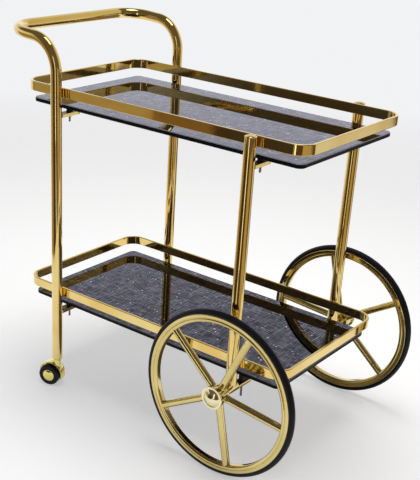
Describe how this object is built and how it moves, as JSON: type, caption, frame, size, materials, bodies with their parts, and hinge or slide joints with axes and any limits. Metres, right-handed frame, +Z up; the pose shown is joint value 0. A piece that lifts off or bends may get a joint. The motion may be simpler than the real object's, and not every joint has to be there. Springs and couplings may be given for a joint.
{
  "type": "service cart",
  "caption": "Service cart of polished tube with glass shelves inside flat-bar rails, a bent push handle, large spoked wheels in front and small swivel casters behind.",
  "frame": {"origin": "on the floor, under the middle of the whole cart's outline", "axes": "+X along the cart towards the large wheels, +Y across it towards the left side, +Z up"},
  "size_m": [0.8764, 0.583, 0.8605],
  "materials": {
    "gold": "polished",
    "glass": "gloss",
    "tyre": "satin",
    "rubber": "matte",
    "steel": "satin",
    "black_plastic": "gloss",
    "grey_plastic": "matte"
  },
  "bodies": {
    "cart": {"rear_frame": "gold", "top_rail": "gold", "lower_rail": "gold", "top_tabs": "gold", "lower_tabs": "gold", "top_glass": "glass", "lower_glass": "glass", "top_pads": "rubber", "lower_pads": "rubber", "top_studs": "steel", "lower_studs": "steel", "top_nuts": "steel", "lower_nuts": "steel", "lower_front_collars": "black_plastic", "front_leg_left": "gold", "front_leg_cap_left": "gold", "axle_sleeve_left": "gold", "axle_insert_left": "steel", "axle_bolt_left": "steel", "washers_left": "steel", "caster_socket_left": "gold", "front_leg_right": "gold", "front_leg_cap_right": "gold", "axle_sleeve_right": "gold", "axle_insert_right": "steel", "axle_bolt_right": "steel", "washers_right": "steel", "caster_socket_right": "gold"},
    "wheel_left": {"tyre_left": "tyre", "bushes_left": "grey_plastic", "rim_left": "gold", "spokes_left": "gold", "hub_left": "gold", "hub_cap_left": "gold"},
    "caster_left": {"caster_hood_left": "gold", "caster_stem_left": "steel", "caster_axle_left": "steel"},
    "caster_wheel_left_inner": {"caster_wheel_left_inner": "black_plastic", "caster_disc_left_inner": "gold"},
    "caster_wheel_left_outer": {"caster_wheel_left_outer": "black_plastic", "caster_disc_left_outer": "gold"},
    "wheel_right": {"tyre_right": "tyre", "bushes_right": "grey_plastic", "rim_right": "gold", "spokes_right": "gold", "hub_right": "gold", "hub_cap_right": "gold"},
    "caster_right": {"caster_hood_right": "gold", "caster_stem_right": "steel", "caster_axle_right": "steel"},
    "caster_wheel_right_inner": {"caster_wheel_right_inner": "black_plastic", "caster_disc_right_inner": "gold"},
    "caster_wheel_right_outer": {"caster_wheel_right_outer": "black_plastic", "caster_disc_right_outer": "gold"}
  },
  "joints": [
    {"name": "wheel_left_spin", "type": "hinge", "parent": "cart", "child": "wheel_left", "pos_m": [0.24825, 0.257, 0.19], "axis": [0, 1, 0], "continuous": true},
    {"name": "caster_left_swivel", "type": "hinge", "parent": "cart", "child": "caster_left", "pos_m": [-0.27175, 0.2125, 0.06], "axis": [0, 0, 1], "continuous": true},
    {"name": "caster_wheel_left_inner_spin", "type": "hinge", "parent": "caster_left", "child": "caster_wheel_left_inner", "pos_m": [-0.28609, 0.20811, 0.0265], "axis": [0.2924, -0.9563, 0], "continuous": true},
    {"name": "caster_wheel_left_outer_spin", "type": "hinge", "parent": "caster_left", "child": "caster_wheel_left_outer", "pos_m": [-0.28609, 0.20811, 0.0265], "axis": [0.2924, -0.9563, 0], "continuous": true},
    {"name": "wheel_right_spin", "type": "hinge", "parent": "cart", "child": "wheel_right", "pos_m": [0.24825, -0.257, 0.19], "axis": [0, 1, 0], "continuous": true},
    {"name": "caster_right_swivel", "type": "hinge", "parent": "cart", "child": "caster_right", "pos_m": [-0.27175, -0.2125, 0.06], "axis": [0, 0, 1], "continuous": true},
    {"name": "caster_wheel_right_inner_spin", "type": "hinge", "parent": "caster_right", "child": "caster_wheel_right_inner", "pos_m": [-0.28609, -0.21689, 0.0265], "axis": [0.2924, -0.9563, 0], "continuous": true},
    {"name": "caster_wheel_right_outer_spin", "type": "hinge", "parent": "caster_right", "child": "caster_wheel_right_outer", "pos_m": [-0.28609, -0.21689, 0.0265], "axis": [0.2924, -0.9563, 0], "continuous": true}
  ]
}
